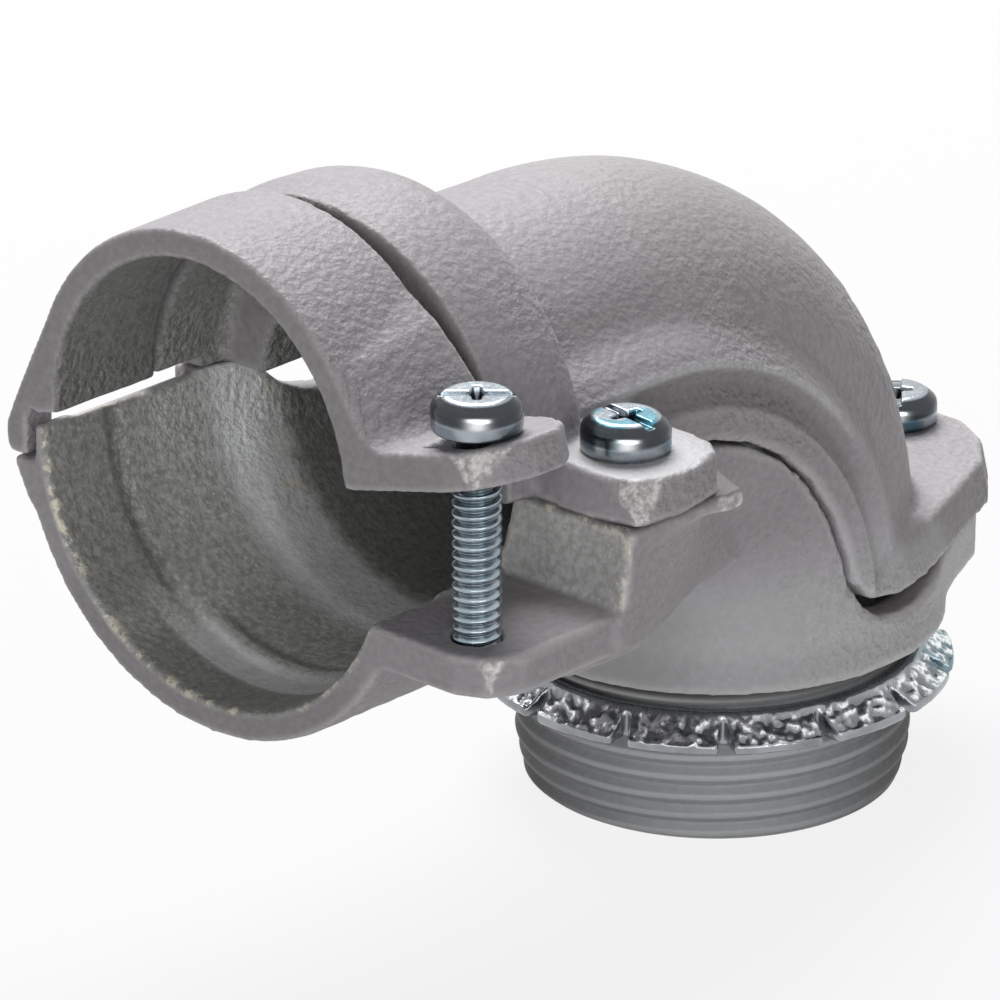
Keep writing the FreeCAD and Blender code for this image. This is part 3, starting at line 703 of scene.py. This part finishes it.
def cover_shell():
    """The upper casting: collar, dome, ear, flange along the seam and heel."""
    mesh, points, normals, crest = cast_form(
        "cover", cell=0.5, grain=0.07, crinkle=0.85, seed=11, flow=ridge_flow)
    set_points(mesh, points)
    x, y, z = points.T
    inside = hollow_mask(points, normals)
    slot_face = step_down(normals[:, 0], -0.7, -0.4) * step_down(x, -59.3, -58.9)
    ear_face = step_up(normals[:, 2], 0.8, 0.95) * step_down(y, -24.0, -22.5) * step_down(x, -40.0, -38.0)
    lip = step_down(y, -21.0, -19.0) * step_down(z, 8.0, 24.0) * step_down(normals[:, 2], 0.2, 0.6)
    ridge, below = ridge_marks(points)
    joint = ear_side(points) * step_down(z, MOUTH_HIGH + 0.2, MOUTH_HIGH + 0.6)
    flank = step_up(np.abs(normals[:, 1]), 0.35, 0.6) * step_down(normals[:, 2], 0.55, 0.8)
    flank = flank * step_up(seam_reach(points), 37.5, 39.5) * step_up(x, -46.0, -42.0)
    # Painted shade on the collar's front face in the slot, inside, below the ridge, at the joint and on
    # the dome's flank.
    soot = most(0.6 * slot_face, 0.43 * inside, 0.22 * below, JOINT_PAINTED_SHADE * joint, 0.13 * flank)
    # Painted light on the ear's top face, the lip and the ridge's line.
    store(mesh, edge=crest * (1.0 - step_up(inside, 0.0, 0.3)), inside=0.8 * inside,
          pale=most(0.35 * ear_face, 0.25 * lip, 0.35 * ridge),
          soot=soot, bare=bare_mask(points, normals, COVER_SPOTS))
    return mesh


def strap_shell():
    """The hinged strap, with painted shade inside its arch and on its front faces."""
    mesh, points, normals, crest = cast_form("strap", cell=0.4, grain=0.06, crinkle=0.75, seed=21)
    set_points(mesh, points)
    arch = strap_mask(points, normals)
    front = (1.0 - arch) * step_down(normals[:, 0], -0.95, -0.7)
    # Painted shade inside the arch and on the faces that look towards the mouth.
    store(mesh, edge=crest * (1.0 - step_up(arch, 0.0, 0.3)), inside=0.75 * arch,
          pale=np.zeros(len(points)), soot=most(0.62 * arch, 0.13 * front),
          bare=bare_mask(points, normals, STRAP_SPOTS))
    return mesh


add_piece("body_shell", body_shell(), "casting", "casting", CASTING, "body_casting")
add_piece("cover_shell", cover_shell(), "casting", "casting", CASTING, "cover")
add_piece("strap_shell", strap_shell(), "strap", "casting", CASTING, "strap")


# Threads.
def thread_wave(turns, crest_share):
    """Height of a thread over its pitch, 1 on the crest and 0 in the root."""
    part = np.abs((turns % 1.0) - 0.5) * 2.0
    return np.clip((1.0 - part) / (1.0 - crest_share), 0.0, 1.0)


def turns_round(columns):
    """Even directions round an axis."""
    return np.linspace(0.0, FULL_TURN, columns, endpoint=False)


def ring(turn, reach, high):
    """One row of points round the upright axis."""
    return np.column_stack((reach * np.cos(turn), reach * np.sin(turn), np.full(len(turn), high)))


def ring_faces(rows, columns):
    """Quads between rows of a closed tube."""
    faces = []
    for row in range(rows - 1):
        for column in range(columns):
            after = (column + 1) % columns
            low = row * columns
            high = low + columns
            faces.append((low + column, low + after, high + after, high + column))
    return faces


def turned_solid(name, rows, columns):
    """A mesh from rows round the upright axis, closed at both ends."""
    faces = ring_faces(len(rows), columns)
    faces.append(tuple(range(columns - 1, -1, -1)))
    faces.append(tuple(range((len(rows) - 1) * columns, len(rows) * columns)))
    return fresh_mesh(name, np.concatenate(rows), faces)


def hub_thread():
    """The hub's outside: a taper-ended screw thread, its end face and the start of its bore."""
    turn = turns_round(HUB_COLUMNS)
    rows = [ring(turn, reach, high) for reach, high in HUB_BORE]
    for high in np.arange(HUB_LOW, 0.3, HUB_ROW):
        above = high - HUB_LOW
        limit = HUB_OUT - HUB_TAPER * (1.0 - step_up(above, 0.0, 5.4))
        limit -= HUB_TAPER * max(0.0, 1.0 - above / HUB_TAPER) ** 2
        wave = thread_wave(high / HUB_PITCH - turn / FULL_TURN, HUB_CREST)
        depth = HUB_DEPTH * step_up(above, 0.25, 1.4)
        ridge = 0.03 * np.sin(3.0 * turn + high) + 0.02 * np.sin(11.0 * turn - 2.0 * high)
        rows.append(ring(turn, limit - depth * (1.0 - wave) + ridge * wave, high))
    mesh = fresh_mesh("hub_thread", np.concatenate(rows), ring_faces(len(rows), HUB_COLUMNS))
    points = get_points(mesh)
    around = axis_turn(points)
    high = points[:, 2]
    wave = thread_wave(high / HUB_PITCH - around / FULL_TURN, HUB_CREST)
    # Crests lighter, partly wear, partly painted highlight; roots darker with painted shade.
    crest = step_up(wave, 0.7, 1.0) - 0.5 * step_down(wave, 0.1, 0.35)
    outer = step_up(axis_distance(points), 18.2, 18.8)
    # Painted highlight on the middle, towards the camera, painted shade on the sides and painted shadow
    # just under the bell's rim.
    side = np.arccos(np.clip(np.cos(around - GLINT_TURN), -1.0, 1.0))
    flank = outer * np.exp(-((side - 1.35) / 0.5) ** 2)
    under = step_up(high, -2.4, -1.7)
    store(mesh, edge=0.8 * crest * outer * (1.0 - 0.55 * flank), inside=1.0 - outer,
          pale=0.32 * outer * np.exp(-(side / 0.8) ** 2), soot=most(0.5 * flank, 0.85 * under),
          bare=np.zeros(len(points)), wrinkle=np.full(len(points), 0.05))
    return mesh


add_piece("hub_thread", hub_thread(), "casting", "casting", THREAD)


# Screws.
def add_tool(name, outline, low, low_share, high):
    """A straight-sided cutting tool that narrows towards its low end."""
    count = len(outline)
    base = [(u * low_share, v * low_share, low) for u, v in outline]
    top = [(u, v, high) for u, v in outline]
    faces = [tuple(range(count - 1, -1, -1)), tuple(range(count, 2 * count))]
    for index in range(count):
        after = (index + 1) % count
        faces.append((index, after, count + after, count + index))
    return add_object(name, fresh_mesh(name, base + top, faces))


def cut(thing, tool):
    """Takes a tool's form out of a piece."""
    step = thing.modifiers.new("cut", "BOOLEAN")
    step.operation = "DIFFERENCE"
    step.solver = "EXACT"
    step.object = tool


def screw_head(name, slot_turn):
    """A pan head with a full slot and a cross, softened as struck steel is."""
    turn = turns_round(HEAD_COLUMNS)
    blank = [ring(turn, reach, high) for reach, high in HEAD_PROFILE]
    head = add_object(name + "_blank", turned_solid(name + "_blank", blank, HEAD_COLUMNS))
    slot_tool = add_tool(name + "_slot", SLOT, SLOT_LOW, 1.0, SLOT_HIGH)
    cross_tool = add_tool(name + "_cross", CROSS, CROSS_LOW, CROSS_TAPER, CROSS_HIGH)
    for tool in (slot_tool, cross_tool):
        cut(head, tool)
    solid = add_object(name + "_solid", built_mesh(head))
    mesh = voxel_copy(solid, HEAD_CELL)
    for thing in (head, slot_tool, cross_tool, solid):
        bpy.data.objects.remove(thing)
    points = soften(get_points(mesh), get_edges(mesh), 4)
    cosine = math.cos(slot_turn)
    sine = math.sin(slot_turn)
    points[:, :2] = points[:, :2] @ np.array(((cosine, -sine), (sine, cosine))).T
    set_points(mesh, points)
    return mesh


def screw_shank(name, length):
    """A threaded shank from the head down, plain for its first turns."""
    turn = turns_round(SHANK_COLUMNS)
    rows = [ring(turn, SHANK_TIP, -length)]
    for high in np.arange(-length, 0.25, SHANK_ROW):
        above = high + length
        limit = SHANK_RAD - SHANK_TAPER * max(0.0, 1.0 - above / 1.2)
        wave = thread_wave(high / SHANK_PITCH - turn / FULL_TURN, SHANK_CREST)
        depth = 0.0 if high > -SHANK_CLEAR else SHANK_DEPTH * min(1.0, above / 0.8)
        rows.append(ring(turn, limit - depth * (1.0 - wave), high))
    return turned_solid(name, rows, SHANK_COLUMNS)


def mark_head(mesh, teal_share, seed):
    """Blue bloom, painted shade in the recess, painted dark reflection on the shoulder and low side, and a
    painted highlight towards the camera on a screw's head.
    """
    points = get_points(mesh)
    high = points[:, 2]
    reach = axis_distance(points)
    cloud = 0.5 + 0.5 * lattice(points + seed, 2.6, seed)
    recess = step_down(high, 2.9, 3.3) * step_down(reach, 2.6, 3.0) * step_up(high, 1.0, 1.4)
    glint = np.exp(-((1.0 - np.cos(axis_turn(points) - GLINT_TURN)) / 0.02)) * step_down(high, 2.3, 2.7)
    shoulder = step_up(reach, 3.3, 3.5) * step_up(high, 1.2, 1.7)
    low = step_up(reach, 3.8, 4.2) * step_down(high, 1.2, 1.5) * step_up(cloud, 0.35, 0.6)
    store(mesh, teal=teal_share * step_up(cloud, 0.55, 0.7), spark=0.9 * shoulder * glint,
          dirt=most(0.85 * recess, 0.97 * shoulder * (1.0 - glint), 0.6 * low))


def mark_shank(mesh):
    """Painted shade in the roots of a shank's thread and painted shadow just under its head."""
    points = get_points(mesh)
    root = step_down(axis_distance(points), 1.95, 2.3)
    under = step_up(points[:, 2], -2.4, -SHANK_CLEAR)
    store(mesh, teal=np.full(len(points), 0.12), spark=np.zeros(len(points)),
          dirt=most(0.6 * root, 0.9 * under))


def add_screw(node, body, spot, length, slot_turn, teal_share, seed):
    """One screw: its head stands for the node, its shank goes with it."""
    head = screw_head(node + "_head", slot_turn)
    shank = screw_shank(node + "_shank", length)
    mark_head(head, teal_share, seed)
    mark_shank(shank)
    for mesh in (head, shank):
        set_points(mesh, get_points(mesh) + np.array(spot))
    add_piece(node + "_head", head, body, "screw_steel", SCREW, node)
    add_piece(node + "_shank", shank, body, "screw_steel", SCREW)


add_screw("strap_screw", "strap_screw", (-69.6, -30.6, 48.2), STRAP_SCREW_LONG,
          slot_turn=math.atan2(FACET_ALONG[1], FACET_ALONG[0]), teal_share=0.25, seed=41)
add_screw("front_cover_screw", "casting", (-48.5, -30.6, 40.0), COVER_SCREW_LONG,
          slot_turn=math.radians(-98.0), teal_share=0.9, seed=43)
add_screw("back_cover_screw", "casting", (29.5, 0.0, 12.4), COVER_SCREW_LONG,
          slot_turn=math.radians(40.0), teal_share=0.9, seed=46)


# Locknut.
def locknut_ring():
    """The lobed nut, its lobes dented as struck steel is."""
    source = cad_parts["locknut"]
    mesh = voxel_copy(source, NUT_CELL)
    pairs = get_edges(mesh)
    points = soften(snap(soften(get_points(mesh), pairs, 3), source), pairs, 3)
    set_points(mesh, points)
    normals = get_normals(mesh)
    struck = step_up(axis_distance(points), *NUT_LOBE) * step_up(normals[:, 2], 0.25, 0.7)
    dents = lattice(points, 0.95, 51) + 0.8 * lattice(points, 0.55, 52)
    relief = struck * (0.24 * dents - 0.2) + (1.0 - struck) * 0.03 * dents
    points = keep_in_box(push(points, normals, relief), source)
    set_points(mesh, points)
    blue = step_up(np.cos(axis_turn(points) - NUT_BLUE_TURN), 0.55, 0.95)
    # Painted shade in the low spots of the struck lobes and painted glints on their high spots; one side
    # tinted blue.
    store(mesh, teal=0.7 * blue, dirt=0.36 * struck * step_down(dents, -0.4, 0.0),
          spark=struck * step_up(dents, -0.06, 0.24))
    return mesh


add_piece("locknut_ring", locknut_ring(), "locknut", "nut_steel", NUT, "locknut")

# Studio: lengths in metres, lamps in watts.
WHITE = (1.0, 1.0, 1.0, 1.0)
FLOOR_HIGH = -0.0185
FLOOR_HALF = 6.0
FLOOR_TONE = (0.7, 0.7, 0.7, 1.0)
FLOOR_GLOW = 0.86
WORLD_LIGHT = 0.02
LAMP_AIM = (-0.02, 0.0, 0.02)


def white_share(tree):
    """1 for rays that show the background: camera, mirror and see-through rays."""
    path = tree.nodes.new("ShaderNodeLightPath")
    total = path.outputs["Is Camera Ray"]
    for name in ("Is Glossy Ray", "Is Transmission Ray"):
        node = tree.nodes.new("ShaderNodeMath")
        node.operation = "MAXIMUM"
        tree.links.new(total, node.inputs[0])
        tree.links.new(path.outputs[name], node.inputs[1])
        total = node.outputs["Value"]
    return total


def floor_material():
    """Matt pale grey as light, nearly white where seen, so that a soft shadow stays."""
    material = bpy.data.materials.new("studio_floor")
    material.use_nodes = True
    tree = material.node_tree
    tree.nodes.clear()
    out = tree.nodes.new("ShaderNodeOutputMaterial")
    matt = tree.nodes.new("ShaderNodeBsdfDiffuse")
    matt.inputs["Color"].default_value = FLOOR_TONE
    glow = tree.nodes.new("ShaderNodeEmission")
    glow.inputs["Color"].default_value = WHITE
    glow.inputs["Strength"].default_value = 1.0
    share = tree.nodes.new("ShaderNodeMath")
    share.operation = "MULTIPLY"
    share.inputs[1].default_value = FLOOR_GLOW
    tree.links.new(white_share(tree), share.inputs[0])
    mix = tree.nodes.new("ShaderNodeMixShader")
    tree.links.new(share.outputs["Value"], mix.inputs["Fac"])
    tree.links.new(matt.outputs["BSDF"], mix.inputs[1])
    tree.links.new(glow.outputs["Emission"], mix.inputs[2])
    tree.links.new(mix.outputs["Shader"], out.inputs["Surface"])
    return material


def make_floor():
    """A wide pale floor under the part."""
    mesh = bpy.data.meshes.new("studio_floor")
    sides = ((-1.0, -1.0), (1.0, -1.0), (1.0, 1.0), (-1.0, 1.0))
    corners = [(x * FLOOR_HALF, y * FLOOR_HALF, FLOOR_HIGH) for x, y in sides]
    mesh.from_pydata(corners, [], [(0, 1, 2, 3)])
    mesh.materials.append(floor_material())
    floor = add_object("studio_floor", mesh)


def make_world():
    """Even pale surroundings: white where seen, softer as light."""
    world = bpy.data.worlds.new("studio")
    scene.world = world
    world.use_nodes = True
    tree = world.node_tree
    back = tree.nodes["Background"]
    back.inputs["Color"].default_value = WHITE
    strength = tree.nodes.new("ShaderNodeMapRange")
    strength.inputs["To Min"].default_value = WORLD_LIGHT
    strength.inputs["To Max"].default_value = 1.0
    tree.links.new(white_share(tree), strength.inputs["Value"])
    tree.links.new(strength.outputs["Result"], back.inputs["Strength"])


def add_lamp(name, spot, wide, watts):
    """A soft square lamp that looks at the part."""
    data = bpy.data.lights.new(name, "AREA")
    data.shape = "SQUARE"
    data.size = wide
    data.energy = watts
    lamp = add_object(name, data)
    aim = (Vector(spot) - Vector(LAMP_AIM)).to_track_quat("Z", "Y")
    lamp.matrix_world = Matrix.Translation(spot) @ aim.to_matrix().to_4x4()


make_floor()
make_world()
add_lamp("top_lamp", (0.22, 0.34, 0.66), wide=0.5, watts=8.2)
add_lamp("side_lamp", (-0.36, -0.6, 0.14), wide=0.35, watts=1.03)
add_lamp("mouth_lamp", (-0.62, -0.32, 0.25), wide=0.35, watts=0.74)

# Camera at the photograph's angle.
camera_data = bpy.data.cameras.new("camera")
camera_data.lens = 270.9
camera_data.sensor_width = 36.0
camera_data.clip_end = 50.0
camera = add_object("camera", camera_data)
camera.matrix_world = Matrix((
    (0.6780, 0.2754, -0.6816, -0.5528),
    (-0.7351, 0.2540, -0.6286, -0.4792),
    (0.0, 0.9272, 0.3746, 0.3073),
    (0.0, 0.0, 0.0, 1.0)))
scene.camera = camera

scene.view_settings.view_transform = "Standard"
